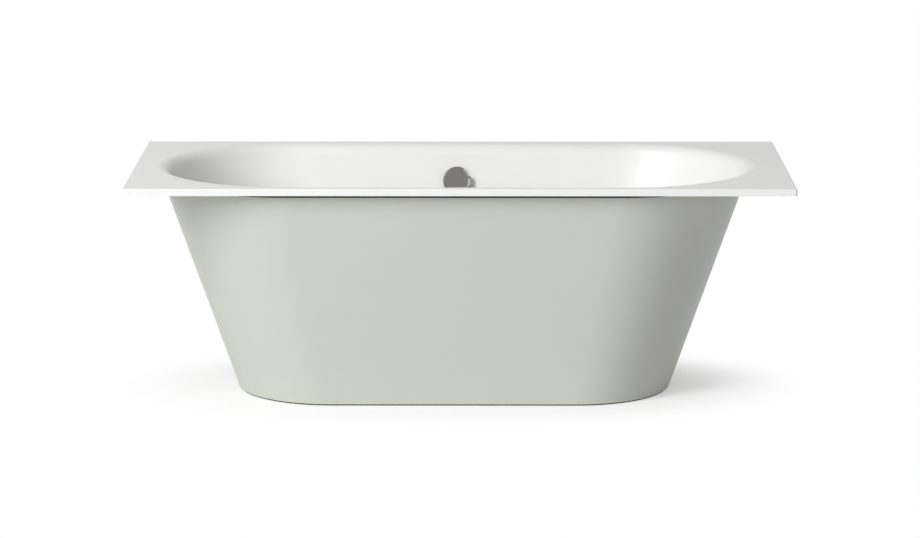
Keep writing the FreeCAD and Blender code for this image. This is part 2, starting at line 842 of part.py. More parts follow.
def trap_outlet():
    """From the second union up, round and out through the skirt's doorway."""
    start = outlet_union[2]
    points = [start, V(riser_x, drain_y, outlet_height), V(riser_x, outlet_end, outlet_height)]
    outside, inside = hollow_pipe(points, [trap_bend])
    collar = rod(union_thread, start, outlet_union[3])
    stop = points[2] - BACK * outlet_spigot
    stop_ring = rod(outlet_stop_radius, stop - BACK * outlet_stop_width, stop)
    return joined([outside, collar, stop_ring]).cut(inside)


# ---- Waste body and flange -------------------------------------------------
def drain_point(height):
    """A point on the drain's axis."""
    return V(drain_x, drain_y, height)


def waste_body():
    """Cup under the drain with overflow socket, tail, shaft boss and cable bracket."""
    shaft_end = V(drain_x + shaft_boss_end, lever_y, lever_height)
    shaft_start = V(drain_x, lever_y, lever_height)
    bracket = box((drain_x, eye_x + ferrule_radius + crank_thickness / 2),
                  (bracket_y, bracket_y + cable_bracket),
                  (rod_height - 2 * ferrule_radius, rod_height + 2 * ferrule_radius))
    body = joined([
        rod(cup_outer, drain_point(cup_floor), drain_point(waste_rim_top)),
        rod(waste_rim_radius, drain_point(waste_rim_low), drain_point(waste_rim_top)),
        rod(union_thread, drain_point(tail_end), drain_point(cup_floor)),
        rod(shaft_boss, shaft_start, shaft_end),
        waste_socket["body"], bracket])
    neck_low = waste_rim_top - neck_height
    hollow = joined([
        rod(cup_inner, drain_point(cup_floor + cup_bottom), drain_point(neck_low)),
        rod(waste_tube_outer, drain_point(neck_low), drain_point(waste_rim_top)),
        rod(tail_bore, drain_point(tail_end), drain_point(cup_floor + cup_bottom)),
        waste_socket["hollow"]])
    hole = rod(shaft_radius + running_clearance, shaft_start, shaft_end)
    ferrule = rod(ferrule_radius, V(eye_x, bracket_y, rod_height),
                  V(eye_x, bracket_y + cable_bracket, rod_height))
    return body.cut(hollow).cut(hole).cut(ferrule)


def waste_flange():
    """Chrome ring with the plug's seat and its threaded tube."""
    low = flange_low - waste_tube_length
    chamfer = flange_thickness / 3
    return turned([
        (waste_tube_inner, low), (waste_tube_outer, low), (waste_tube_outer, flange_low),
        (flange_radius, flange_low), (flange_radius, flange_top - chamfer),
        (flange_radius - chamfer, flange_top), (waste_tube_inner + seat_depth, flange_top),
        (waste_tube_inner, flange_top - seat_depth)], drain_point(0))


def plug_guide():
    """Three-armed guide, pressed into the flange's tube, that the stem slides in."""
    low = flange_low - waste_tube_length
    pieces = [rod(guide_radius, drain_point(low), drain_point(low + guide_height))]
    for turn in (90, 210, 330):
        arm = box((0, waste_tube_outer), (-guide_arm / 2, guide_arm / 2), (0, guide_height))
        arm.Placement = FreeCAD.Placement(drain_point(low), FreeCAD.Rotation(UP, turn))
        pieces.append(arm)
    inside = rod(waste_tube_inner, drain_point(low), drain_point(low + guide_height))
    bore = rod(stem_radius + running_clearance, drain_point(low), drain_point(low + guide_height))
    return joined(pieces).common(inside).cut(bore)


def waste_seals():
    """Rubber rings above and below the recess of the shell."""
    parts["waste_upper_seal"] = [ring(flange_seal_radius, waste_tube_outer,
                                      drain_point(seat_floor), drain_point(flange_low))]
    parts["waste_lower_seal"] = [ring(lower_seal_radius, waste_tube_outer,
                                      drain_point(waste_rim_top), drain_point(recess_under))]


# ---- Plug ------------------------------------------------------------------
def plug():
    """Crowned cap, the seal round its hub, and the stem."""
    edge_top = plug_low + plug_edge
    crown = edge_top + plug_crown
    hub_low = plug_low - plug_hub_height
    cap = turned([(0, hub_low), (plug_hub_radius, hub_low), (plug_hub_radius, plug_low),
                  (plug_radius, plug_low), (plug_radius, edge_top), (0, edge_top)],
                 drain_point(0))
    sphere = (plug_radius ** 2 + plug_crown ** 2) / (2 * plug_crown)
    dome = Part.makeSphere(sphere, drain_point(crown - sphere))
    dome = dome.common(rod(plug_radius, drain_point(edge_top), drain_point(crown)))
    seal_low = hub_low + (plug_hub_height - plug_seal_height) / 2
    seat = waste_tube_inner + seal_low - (flange_top - seat_depth)
    seal = ring(seat - seal_clearance * math.sqrt(2), plug_hub_radius,
                drain_point(seal_low), drain_point(seal_low + plug_seal_height))
    parts["plug_cap"] = [joined([cap, dome])]
    parts["plug_seal"] = [seal]
    parts["plug_stem"] = [rod(stem_radius, drain_point(stem_low), drain_point(hub_low))]


# ---- Lift lever and cable end ----------------------------------------------
def lever_place(shape):
    """Turns a shape, drawn at the middle of the lever's swing, to the shut position."""
    shape.rotate(V(0, lever_y, lever_height), ALONG, lever_swing / 2)
    return shape


def lift_lever():
    """Lever inside the cup, its shaft through the wall and the crank outside."""
    inner = (drain_x - lever_width / 2, drain_x + lever_width / 2)
    shaft_low = V(inner[0], lever_y, lever_height)
    hub = rod(lever_hub, shaft_low, shaft_low + ALONG * lever_width)
    tip = shaft_low - BACK * lever_reach
    nose = rod(lever_nose, tip, tip + ALONG * lever_width)
    half = lever_thickness / 2
    arm = box(inner, (drain_y, lever_y), (lever_height - half, lever_height + half))
    outer_end = crank_x + crank_thickness
    shaft = rod(shaft_radius, shaft_low, V(outer_end, lever_y, lever_height))
    crank_low = V(crank_x, lever_y, lever_height)
    pin_low = crank_low + UP * crank_reach
    blade = box((crank_x, outer_end), (lever_y - half, lever_y + half),
                (lever_height, lever_height + crank_reach))
    crank = joined([rod(crank_hub, crank_low, crank_low + ALONG * crank_thickness), blade,
                    rod(crank_tip, pin_low, pin_low + ALONG * crank_thickness),
                    rod(crank_pin, pin_low, pin_low + ALONG * (crank_thickness + crank_pin_length))])
    parts["lift_lever"] = [lever_place(joined([hub, nose, arm]).cut(shaft))]
    parts["cable_crank"] = [lever_place(crank.cut(shaft))]
    parts["lever_shaft"] = [lever_place(shaft)]


def cable_end():
    """The eye on the crank's pin and the rod that slides in the ferrule."""
    low = eye_x - eye_thickness / 2
    rise = crank_reach * (1 - math.cos(math.radians(lever_swing / 2))) / 2
    centre = V(low, eye_y, rod_height)
    thick = ALONG * eye_thickness
    plate = rod(eye_radius, centre + UP * rise, centre + UP * rise + thick)
    plate = plate.fuse(rod(eye_radius, centre - UP * rise, centre - UP * rise + thick))
    slot_radius = crank_pin + eye_slack
    reach = slot_radius + rise
    slot = joined([
        rod(slot_radius, centre + UP * rise, centre + UP * rise + thick),
        rod(slot_radius, centre - UP * rise, centre - UP * rise + thick),
        box((low, low + eye_thickness), (eye_y - slot_radius, eye_y + slot_radius),
            (rod_height - reach + slot_radius, rod_height + reach - slot_radius))])
    sides = box((low, low + eye_thickness), (eye_y - eye_radius, eye_y + eye_radius),
                (rod_height - rise, rod_height + rise))
    start = V(eye_x, eye_y + (slot_radius + eye_radius) / 2, rod_height)
    end = V(eye_x, bracket_y + ferrule_lead, rod_height)
    return joined([plate, sides, rod(rod_radius, start, end)]).cut(slot)


# ---- Control cable ---------------------------------------------------------
ferrule_low = V(eye_x, bracket_y - ferrule_lead, rod_height)
ferrule_step = ferrule_low + BACK * ferrule_guide
ferrule_high = ferrule_step + BACK * ferrule_grip


def cable_points():
    """From the overflow body out, down the wall, and level to the lower ferrule."""
    out = drum_radius
    across = cable_side - cable_out
    corner = wall_run_end(-drum_middle, rod_height)
    turn_in = ferrule_step + BACK * cable_turn_in
    return [wall_point(cable_start, out, drum_middle),
            wall_point(cable_out, out, drum_middle),
            wall_point(cable_side, out - across, drum_middle),
            wall_point(cable_side, corner, drum_middle),
            turn_in, ferrule_step]


def largest_bends(points):
    """Each corner's arc, as large as its two runs allow."""
    bends = []
    for before, corner, after in zip(points, points[1:], points[2:]):
        shorter = min((before - corner).Length, (after - corner).Length)
        half = (corner - before).getAngle(after - corner) / 2
        bends.append(bend_share * shorter / math.tan(half))
    return bends


def control_cable():
    """The jacketed cable, whole, between its two ferrules."""
    points = cable_points()
    bends = largest_bends(points)
    cable = bent_rod(cable_radius, points, bends)
    length = rounded_route(points, bends).Length
    section = math.pi * cable_radius ** 2
    print("control cable", round(length), "mm long, bends",
          [round(bend) for bend in bends], "volume over section times length",
          round(cable.Volume / (section * length), 4))
    return cable


def cable_fittings():
    """Ferrules at both ends and the clips on the rear wall."""
    lower = rod(ferrule_radius, ferrule_low, ferrule_high)
    lower = lower.cut(rod(rod_radius + running_clearance, ferrule_low, ferrule_step))
    lower = lower.cut(rod(cable_radius, ferrule_step, ferrule_high))
    upper = ring(ferrule_radius, cable_radius, V(cable_start, drum_radius, drum_middle),
                 V(cable_start + ferrule_grip, drum_radius, drum_middle))
    half = clip_width / 2
    clips = []
    for drop in clip_drops:
        clip = box((cable_side - half, cable_side + half), (-drop - half, -drop + half),
                   (drum_middle - cable_radius - clip_wall / 2, -steel))
        hole = rod(cable_radius, V(cable_side, -drop - half, drum_middle),
                   V(cable_side, -drop + half, drum_middle))
        clips.append(on_wall(clip.cut(hole)))
    parts["cable_ferrules"] = [lower, on_wall(upper)]
    parts["cable_clips"] = clips


# ---- Overflow fitting, drawn in the rear wall's frame -----------------------
def axis_point(height):
    """A point on the overflow's axis, in the wall's frame."""
    return V(0, 0, height)


def clamp_points():
    """Where the two clamping screws stand."""
    return [V(side * clamp_screw_offset, 0, 0) for side in (-1, 1)]


def overflow_body():
    """Cup behind the shell, with its flange, socket, gland and screw bosses."""
    back_wall = body_back + overflow_cup_wall
    gland = (V(0, drum_radius, drum_middle), V(gland_end, drum_radius, drum_middle))
    outside = joined([
        rod(overflow_cup_outer, axis_point(body_back), axis_point(body_front)),
        rod(overflow_flange_radius, axis_point(body_front - overflow_flange),
            axis_point(body_front)),
        rod(gland_radius, gland[0], gland[1])])
    hollow = rod(overflow_cup_inner, axis_point(back_wall), axis_point(body_front))
    bosses = [rod(clamp_boss, place + axis_point(body_back), place + axis_point(body_front))
              for place in clamp_points()]
    seat_top = axis_point(back_wall + spindle_seat)
    bosses.append(rod(spindle_radius + overflow_cup_wall, axis_point(body_back), seat_top))
    holes = [rod(spindle_radius + running_clearance, axis_point(back_wall), seat_top),
             rod(cable_radius, gland[0], gland[1]),
             rod(ferrule_radius, V(cable_start, drum_radius, drum_middle), gland[1])]
    for place in clamp_points():
        holes.append(rod(clamp_screw_radius, place + axis_point(clamp_tip),
                         place + axis_point(body_front)))
    body = on_wall(outside).fuse(overflow_socket["body"])
    body = body.cut(on_wall(hollow)).cut(overflow_socket["hollow"])
    body = body.multiFuse([on_wall(boss) for boss in bosses])
    return body.cut(Part.makeCompound([on_wall(hole) for hole in holes]))


def overflow_plate():
    """Ring inside the bath with two arms that carry the spindle's hub."""
    top = plate_low + plate_thickness
    plate = ring(plate_radius, plate_bore, axis_point(plate_low), axis_point(top))
    arm = box((-plate_bore - margin, plate_bore + margin), (-plate_arm / 2, plate_arm / 2),
              (plate_low, top))
    hub = rod(plate_hub, axis_point(plate_low), axis_point(hub_top))
    plate = joined([plate, arm, hub])
    plate = plate.cut(rod(spindle_radius + running_clearance, axis_point(plate_low),
                          axis_point(hub_top)))
    for place in clamp_points():
        plate = plate.cut(rod(clamp_screw_radius, place + axis_point(plate_low),
                              place + axis_point(top)))
        plate = plate.cut(rod(clamp_screw_head, place + axis_point(top - clamp_screw_head_height),
                              place + axis_point(top)))
    return on_wall(plate)


def overflow_screws():
    """The two screws that clamp plate, shell and body together."""
    top = plate_low + plate_thickness
    neck = top - clamp_screw_head_height
    screws = []
    for place in clamp_points():
        head = rod(clamp_screw_head, place + axis_point(neck), place + axis_point(top))
        shank = rod(clamp_screw_radius, place + axis_point(clamp_tip), place + axis_point(neck))
        screws.append(on_wall(joined([head, shank])))
    return screws


def overflow_seals():
    """Rubber rings on both sides of the shell."""
    parts["overflow_seal"] = [on_wall(ring(overflow_seal_radius, overflow_hole,
                                           axis_point(body_front), axis_point(-steel)))]
    parts["overflow_face_seal"] = [on_wall(ring(face_seal_radius, overflow_hole,
                                                axis_point(0), axis_point(plate_low)))]


# ---- Knob ------------------------------------------------------------------
def knob_notch():
    """The finger notch as a solid to take away."""
    reach = knob_radius - notch_depth + notch_radius
    angle = math.radians(notch_angle)
    place = V(reach * math.cos(angle), reach * math.sin(angle), 0)
    return rod(notch_radius, place + axis_point(knob_back), place + axis_point(knob_front))


def overflow_knob():
    """Round, slightly crowned knob with bevelled edges and one finger notch."""
    edge = knob_front - knob_crown
    knob = turned([(0, knob_back), (knob_radius - knob_bevel, knob_back),
                   (knob_radius, knob_back + knob_bevel), (knob_radius, edge - knob_bevel),
                   (knob_radius - knob_bevel, edge), (0, edge)], axis_point(0))
    crown_radius = knob_radius - knob_bevel
    sphere = (crown_radius ** 2 + knob_crown ** 2) / (2 * knob_crown)
    dome = Part.makeSphere(sphere, axis_point(knob_front - sphere))
    dome = dome.common(rod(crown_radius, axis_point(edge), axis_point(knob_front)))
    knob = joined([knob, dome]).cut(knob_notch())
    socket = rod(spindle_radius, axis_point(knob_back), axis_point(knob_back + knob_socket))
    return on_wall(knob.cut(socket))


def knob_spindle():
    """From its seat in the overflow body to its socket in the knob."""
    low = body_back + overflow_cup_wall
    return on_wall(rod(spindle_radius, axis_point(low), axis_point(knob_back + knob_socket)))


def cable_drum():
    """Grooved wheel on the spindle that winds the cable's wire."""
    half = drum_width / 2
    groove = drum_groove / 2
    cheeks = ring(drum_flange, spindle_radius, axis_point(drum_middle - half),
                  axis_point(drum_middle + half))
    band = ring(drum_flange, drum_radius - rod_radius, axis_point(drum_middle - groove),
                axis_point(drum_middle + groove))
    return on_wall(cheeks.cut(band))


# ---- All pieces ------------------------------------------------------------
def build():
    """Fills the list of parts, each a name and its solids."""
    blank = shell_blank()
    panel = skirt()
    parts["bath_shell"] = [bath_shell(blank)]
    parts["skirt"] = [panel]
    parts["skirt_foot_seal"] = [skirt_foot_seal()]
    parts["skirt_top_trim"] = [skirt_top_trim(blank, panel)]
    skirt_fixings()
    leg_frame()
    feet()
    parts["sound_mats"] = sound_mats()
    earthing()
    parts["overflow_body"] = [overflow_body()]
    overflow_seals()
    parts["overflow_plate"] = [overflow_plate()]
    parts["overflow_screws"] = overflow_screws()
    parts["overflow_knob"] = [overflow_knob()]
    parts["knob_spindle"] = [knob_spindle()]
    parts["cable_drum"] = [cable_drum()]
    parts["overflow_pipe"] = [overflow_pipe()]
    parts["pipe_nuts"] = [waste_socket["nut"], overflow_socket["nut"]]
    parts["pipe_seals"] = [waste_socket["seal"], overflow_socket["seal"]]
    parts["waste_body"] = [waste_body()]
    parts["waste_flange"] = [waste_flange()]
    parts["plug_guide"] = [plug_guide()]
    waste_seals()
    plug()
    lift_lever()
    parts["cable_end"] = [cable_end()]
    parts["control_cable"] = [control_cable()]
    cable_fittings()
    parts["trap_bend"] = [trap_bend_piece()]
    parts["trap_outlet"] = [trap_outlet()]
    parts["trap_nuts"] = [waste_union[0], outlet_union[0]]
    parts["trap_seals"] = [waste_union[1], outlet_union[1]]


def export():
    """Writes one STEP file for each part."""
    os.makedirs("parts", exist_ok=True)
    for name, solids in parts.items():
        shape = solids[0] if len(solids) == 1 else Part.makeCompound(solids)
        shape.exportStep(os.path.join("parts", name + ".step"))


parts = {}
build()
export()
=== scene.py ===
"""Back-to-wall bath: the finishes, the turned and threaded small parts, and the studio."""
import json
import math

import bpy
from mathutils import Matrix, Vector


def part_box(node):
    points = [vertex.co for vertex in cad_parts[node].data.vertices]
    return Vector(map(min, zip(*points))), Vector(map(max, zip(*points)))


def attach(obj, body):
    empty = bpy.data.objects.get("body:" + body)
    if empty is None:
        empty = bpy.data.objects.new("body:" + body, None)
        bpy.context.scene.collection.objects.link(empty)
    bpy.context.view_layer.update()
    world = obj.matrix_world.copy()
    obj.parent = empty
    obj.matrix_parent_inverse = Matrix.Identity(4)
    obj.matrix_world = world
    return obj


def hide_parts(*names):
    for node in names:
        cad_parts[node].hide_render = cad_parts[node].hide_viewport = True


bl_info = {
    "name": "Back-to-wall bath",
    "version": (1, 0, 0),
    "blender": (4, 5, 0),
    "location": "3D View > Sidebar > Bath",
    "description": "Finishes and small parts of an enamelled bath, and its studio",
    "category": "Object",
}

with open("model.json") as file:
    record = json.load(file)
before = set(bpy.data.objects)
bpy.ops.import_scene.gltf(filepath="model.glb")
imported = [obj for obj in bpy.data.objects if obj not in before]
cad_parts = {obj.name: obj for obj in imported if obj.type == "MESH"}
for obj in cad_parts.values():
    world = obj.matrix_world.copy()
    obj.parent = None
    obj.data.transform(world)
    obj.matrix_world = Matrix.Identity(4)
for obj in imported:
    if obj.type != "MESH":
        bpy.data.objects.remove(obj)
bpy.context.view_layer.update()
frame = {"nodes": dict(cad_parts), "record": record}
slot_of = {part["node"]: part["material_slot"] for part in frame["record"]["subparts"]}
body_of = {node: body for body, nodes in frame["record"]["behaviour"]["bodies"].items()
           for node in nodes}

MM = 0.001                    # the scene is in metres
MERGE = 0.002 * MM            # points closer than this are one point
UP = Vector((0, 0, 1))
CORNERS = ("front_left", "front_right", "rear_left", "rear_right")

# Fasteners by thread size, in millimetres. The M12 studs move through their nuts, so these
# have a bore clear of the thread. The others stay put and bite into theirs.
SHANK = {"M12": 6, "M8": 4, "M6": 3}             # radius over the thread
FLATS = {"M12": 18, "M8": 13, "M6": 10}          # width across the hexagon's flats
BORE = {"M12": 6.1, "M8": 3.5, "M6": 2.6}        # radius of the nut's hole

# Profile of a screw thread, as parts of its pitch
THREAD_DEPTH = 0.613
CREST_START, CREST_END = -0.56, -0.44


def linear(hex_colour):
    """An sRGB hex colour as linear red, green and blue."""
    channels = [int(hex_colour[place:place + 2], 16) / 255 for place in (0, 2, 4)]
    return [c / 12.92 if c <= 0.04045 else ((c + 0.055) / 1.055) ** 2.4 for c in channels]


def colour_choice(name, description, hex_colour):
    """A colour that the user can change."""
    return bpy.props.FloatVectorProperty(name=name, description=description, subtype="COLOR",
                                         size=3, min=0, max=1, default=linear(hex_colour))


def length_choice(name, description, millimetres):
    """A length that the user can change."""
    return bpy.props.FloatProperty(name=name, description=description, unit="LENGTH",
                                   min=0, precision=5, default=millimetres * MM)


# ---- What a user would change ----------------------------------------------
class BathColours(bpy.types.PropertyGroup):
    """Colours of the bath's finishes"""
    enamel: colour_choice("Enamel", "Fired white enamel of the shell", "F3F3F2")
    sage: colour_choice("Sage coat", "Satin lacquer of the skirt", "CBCEC4")
    chrome: colour_choice("Chrome", "Plating of knob, plug and waste ring", "7C7B79")
    zinc: colour_choice("Zinc", "Galvanised leg frame and fasteners", "B9BCBE")
    brass: colour_choice("Brass", "Turned spindle, shaft and bolts", "C9A25C")
    white_plastic: colour_choice("White plastic", "Pipes, trap and fittings", "E9E9E4")
    black_plastic: colour_choice("Black plastic", "Feet, blocks and clips", "1E1F20")
    rubber: colour_choice("Dark rubber", "Foot seal and edge trim", "2A2B2B")
    grey_rubber: colour_choice("Grey rubber", "Gaskets and bonding pads", "6A6C6D")
    jacket: colour_choice("Cable jacket", "Sheath of the control cable", "26272A")
    bitumen: colour_choice("Bitumen", "Damping mats under the floor", "2B2927")


class BathDetails(bpy.types.PropertyGroup):
    """Sizes of the fine details"""
    foot_pitch: length_choice("Foot thread", "Pitch of the levelling studs", 1.75)
    bolt_pitch: length_choice("Bolt thread", "Pitch of the bracket bolts", 1.25)
    screw_pitch: length_choice("Screw thread", "Pitch of the block screws", 1.6)
    earth_pitch: length_choice("Earth thread", "Pitch of the earthing bolt", 1.0)
    moulded_edge: length_choice("Moulded edge", "Edge radius of plastic parts", 0.8)
    folded_edge: length_choice("Folded edge", "Edge radius of sheet steel parts", 0.6)


class BathStudio(bpy.types.PropertyGroup):
    """Lamps and camera"""
    key_power: bpy.props.FloatProperty(name="Key lamp", description="Large lamp on the left",
                                       unit="POWER", min=0, default=755)
    fill_power: bpy.props.FloatProperty(name="Fill lamp", description="Large lamp in front",
                                        unit="POWER", min=0, default=55)
    ambient: bpy.props.FloatProperty(name="Ambient", description="Strength of the room's own light",
                                     min=0, default=0.18)
    lens: bpy.props.FloatProperty(name="Lens", description="Focal length on a 36 mm sensor",
                                  unit="CAMERA", min=1, default=135.2)


# ---- Materials -------------------------------------------------------------
def add_node(material, kind, values=(), links=(), **settings):
    """Adds a shader node, sets its inputs and its own settings, and links its inputs."""
    made = material.node_tree.nodes.new("ShaderNode" + kind)
    for name, value in settings.items():
        setattr(made, name, value)
    for socket, value in dict(values).items():
        made.inputs[socket].default_value = value
    for socket, source in dict(links).items():
        material.node_tree.links.new(source, made.inputs[socket])
    return made


def start_material(name, **surface):
    """A new material with its shader set, and the piece's own place as coordinates."""
    material = bpy.data.materials.new(name)
    material.use_nodes = True
    shader = material.node_tree.nodes["Principled BSDF"]
    for socket, value in surface.items():
        shader.inputs[socket.replace("_", " ")].default_value = value
    place = add_node(material, "TexCoord").outputs["Object"]
    return material, shader, place


def per_metre(millimetres):
    """The scale of a pattern whose marks are this far apart."""
    return 1 / (millimetres * MM)


def grain(material, place, spacing, detail=2.0):
    """Soft irregular marks, this many millimetres apart."""
    return add_node(material, "TexNoise", {"Scale": per_metre(spacing), "Detail": detail},
                    {"Vector": place}).outputs["Fac"]


def tones(material, shader, marks, colour, darker):
    """Mixes the colour with a darker tone of itself along the marks."""
    low = [channel * darker for channel in colour]
    mixed = add_node(material, "Mix", {"A": low + [1], "B": list(colour) + [1]}, {"Factor": marks},
                     data_type="RGBA")
    material.node_tree.links.new(mixed.outputs["Result"], shader.inputs["Base Color"])


def roughness_range(material, shader, marks, low, high):
    """Lets the gloss wander between two roughness values along the marks."""
    spread = add_node(material, "MapRange", {"To Min": low, "To Max": high}, {"Value": marks})
    material.node_tree.links.new(spread.outputs["Result"], shader.inputs["Roughness"])


def relief(material, shader, marks, height):
    """Raises the surface along the marks by this many millimetres."""
    bump = add_node(material, "Bump", {"Distance": height * MM}, {"Height": marks})
    material.node_tree.links.new(bump.outputs["Normal"], shader.inputs["Normal"])


def vitreous_enamel(colour):
    """Glass enamel, sprayed on steel and fired: deep gloss over a faint orange peel."""
    material, shader, place = start_material("vitreous enamel", IOR=1.52)
    tones(material, shader, grain(material, place, 260), colour, 0.985)
    # The gloss stays above 0.275: a range across it leaves blotches in the denoised picture.
    roughness_range(material, shader, grain(material, place, 90), 0.28, 0.31)
    # Real orange peel is 1 to 3 mm wide. It is drawn coarser, so that it can show.
    relief(material, shader, grain(material, place, 14, detail=0), 0.004)
    return material


def satin_lacquer(colour):
    """Acrylic panel sprayed in satin lacquer: an even sheen over a very fine texture."""
    material, shader, place = start_material("satin lacquer on acrylic", IOR=1.49)
    tones(material, shader, grain(material, place, 180), colour, 0.985)
    roughness_range(material, shader, grain(material, place, 60), 0.40, 0.46)
    # Real spray texture is about 0.5 mm wide. It is drawn coarser, so that it can show.
    relief(material, shader, grain(material, place, 1.4), 0.012)
    return material


def chrome_plate(colour):
    """Polished chrome on brass: mirror-like, with the faintest buffing marks."""
    material, shader, place = start_material("polished chrome plate", Metallic=1.0)
    tones(material, shader, grain(material, place, 40), colour, 0.97)
    roughness_range(material, shader, grain(material, place, 12), 0.07, 0.11)
    # Real buffing marks are under 0.5 mm wide. They are drawn coarser, so that they can show.
    relief(material, shader, grain(material, place, 5, detail=0), 0.002)
    return material


def zinc_plate(colour):
    """Zinc-plated mild steel: dull metal with cloudy patches and tiny crystals."""
    material, shader, place = start_material("zinc-plated steel", Metallic=1.0)
    cloudy = grain(material, place, 22, detail=4)
    tones(material, shader, cloudy, colour, 0.72)
    roughness_range(material, shader, grain(material, place, 9), 0.32, 0.50)
    # Real zinc crystals are about 0.1 mm wide. They are drawn coarser, so that they can show.
    relief(material, shader, grain(material, place, 1.5), 0.015)
    return material


def turned_brass(colour):
    """Brass bar, turned on a lathe: warm metal with soft tarnish."""
    material, shader, place = start_material("turned brass", Metallic=1.0)
    tones(material, shader, grain(material, place, 10, detail=4), colour, 0.75)
    roughness_range(material, shader, grain(material, place, 4), 0.29, 0.36)
    relief(material, shader, grain(material, place, 0.8), 0.004)
    return material


def moulded_polypropylene(colour):
    """White polypropylene, injection moulded: waxy, half matt, slightly uneven."""
    material, shader, place = start_material("white moulded polypropylene", IOR=1.49)
    tones(material, shader, grain(material, place, 45), colour, 0.95)
    roughness_range(material, shader, grain(material, place, 15), 0.30, 0.42)
    relief(material, shader, grain(material, place, 1.8), 0.012)
    return material


def moulded_nylon(colour):
    """Black glass-filled nylon, injection moulded: matt, with a spark-eroded grain."""
    material, shader, place = start_material("black moulded nylon", IOR=1.53)
    tones(material, shader, grain(material, place, 20), colour, 0.7)
    roughness_range(material, shader, grain(material, place, 6), 0.45, 0.60)
    relief(material, shader, grain(material, place, 0.9), 0.02)
    return material


def extruded_rubber(colour):
    """EPDM rubber strip, extruded: dark and matt, dusted grey in places."""
    material, shader, place = start_material("extruded dark rubber", IOR=1.52)
    tones(material, shader, grain(material, place, 30, detail=5), colour, 0.6)
    roughness_range(material, shader, grain(material, place, 12), 0.70, 0.85)
    relief(material, shader, grain(material, place, 1.1), 0.02)
    return material


def moulded_grey_rubber(colour):
    """Grey nitrile rubber and bonding pads: matt and slightly mottled."""
    material, shader, place = start_material("grey moulded rubber", IOR=1.52)
    tones(material, shader, grain(material, place, 12, detail=4), colour, 0.8)
    roughness_range(material, shader, grain(material, place, 8), 0.60, 0.78)
    relief(material, shader, grain(material, place, 1.2), 0.02)
    return material


def cable_sheath(colour):
    """Soft PVC, extruded over a wound liner: satin black."""
    material, shader, place = start_material("extruded PVC sheath", IOR=1.53)
    tones(material, shader, grain(material, place, 14), colour, 0.75)
    roughness_range(material, shader, grain(material, place, 5), 0.38, 0.52)
    relief(material, shader, grain(material, place, 1.0), 0.01)
    return material


def bitumen_sheet(colour):
    """Filled bitumen sheet, rolled: almost black, rough with mineral grit."""
    material, shader, place = start_material("rolled bitumen sheet", IOR=1.6)
    tones(material, shader, grain(material, place, 3, detail=6), colour, 0.55)
    roughness_range(material, shader, grain(material, place, 9), 0.78, 0.95)
    relief(material, shader, grain(material, place, 1.6, detail=5), 0.12)
    return material


FINISHES = {
    "enamel": (vitreous_enamel, "enamel"),
    "sage_coat": (satin_lacquer, "sage"),
    "chrome": (chrome_plate, "chrome"),
    "zinc": (zinc_plate, "zinc"),
    "brass": (turned_brass, "brass"),
    "white_pipe": (moulded_polypropylene, "white_plastic"),
    "black_plastic": (moulded_nylon, "black_plastic"),
    "dark_rubber": (extruded_rubber, "rubber"),
    "grey_rubber": (moulded_grey_rubber, "grey_rubber"),
    "cable_jacket": (cable_sheath, "jacket"),
    "bitumen": (bitumen_sheet, "bitumen"),
}
made_finishes = {}


def finish(slot):
    """The material of a slot, made the first time that it is asked for."""
    if slot not in made_finishes:
        make, choice = FINISHES[slot]
        colour = list(getattr(bpy.context.scene.bath_colours, choice))
        made_finishes[slot] = make(colour)
    return made_finishes[slot]


def dress(*names):
    """Gives CAD nodes their finish."""
    for name in names:
        for slot in frame["nodes"][name].material_slots:
            slot.material = finish(slot_of[name])


# ---- Modelling steps used all over -----------------------------------------
def select_only(*pieces):
    """Selects these pieces alone and makes the first of them active."""
    bpy.ops.object.select_all(action="DESELECT")
    for piece in pieces:
        piece.select_set(True)
    bpy.context.view_layer.objects.active = pieces[0]


def apply_modifiers(piece):
    """Turns a piece's modifiers into mesh."""
    select_only(piece)
    for name in [step.name for step in piece.modifiers]:
        bpy.ops.object.modifier_apply(modifier=name)


def carve(piece, tool, operation="DIFFERENCE"):
    """Combines a piece with a tool, which is used up."""
    step = piece.modifiers.new("carve", "BOOLEAN")
    step.operation = operation
    step.solver = "EXACT"
    step.object = tool
    apply_modifiers(piece)
    bpy.data.objects.remove(tool)


def outline_chain(name, points):
    """A new piece, left in edit mode: a chain of edges through (radius, height) points."""
    bpy.ops.object.select_all(action="DESELECT")
    bpy.ops.mesh.primitive_plane_add(size=MM)
    piece = bpy.context.active_object
    piece.name = name
    places = [Vector((radius, 0, height)) * MM for radius, height in points]
    bpy.ops.object.mode_set(mode="EDIT")
    bpy.ops.mesh.select_all(action="SELECT")
    bpy.ops.mesh.merge(type="CENTER")
    bpy.ops.transform.translate(value=places[0])
    for before, after in zip(places, places[1:]):
        bpy.ops.mesh.extrude_vertices_move(TRANSFORM_OT_translate={"value": after - before})
    bpy.ops.mesh.select_all(action="SELECT")
    return piece


def close_up(piece):
    """Merges doubled points, turns the faces outwards and leaves edit mode."""
    bpy.ops.mesh.select_all(action="SELECT")
    bpy.ops.mesh.remove_doubles(threshold=MERGE)
    bpy.ops.mesh.normals_make_consistent(inside=False)
    bpy.ops.object.mode_set(mode="OBJECT")
    return piece


def turned_piece(name, points, steps=48):
    """A solid turned about +Z, from (radius, height) points in millimetres."""
    piece = outline_chain(name, points)
    bpy.ops.mesh.spin(steps=steps, angle=math.tau, center=(0, 0, 0), axis=UP)
    return close_up(piece)


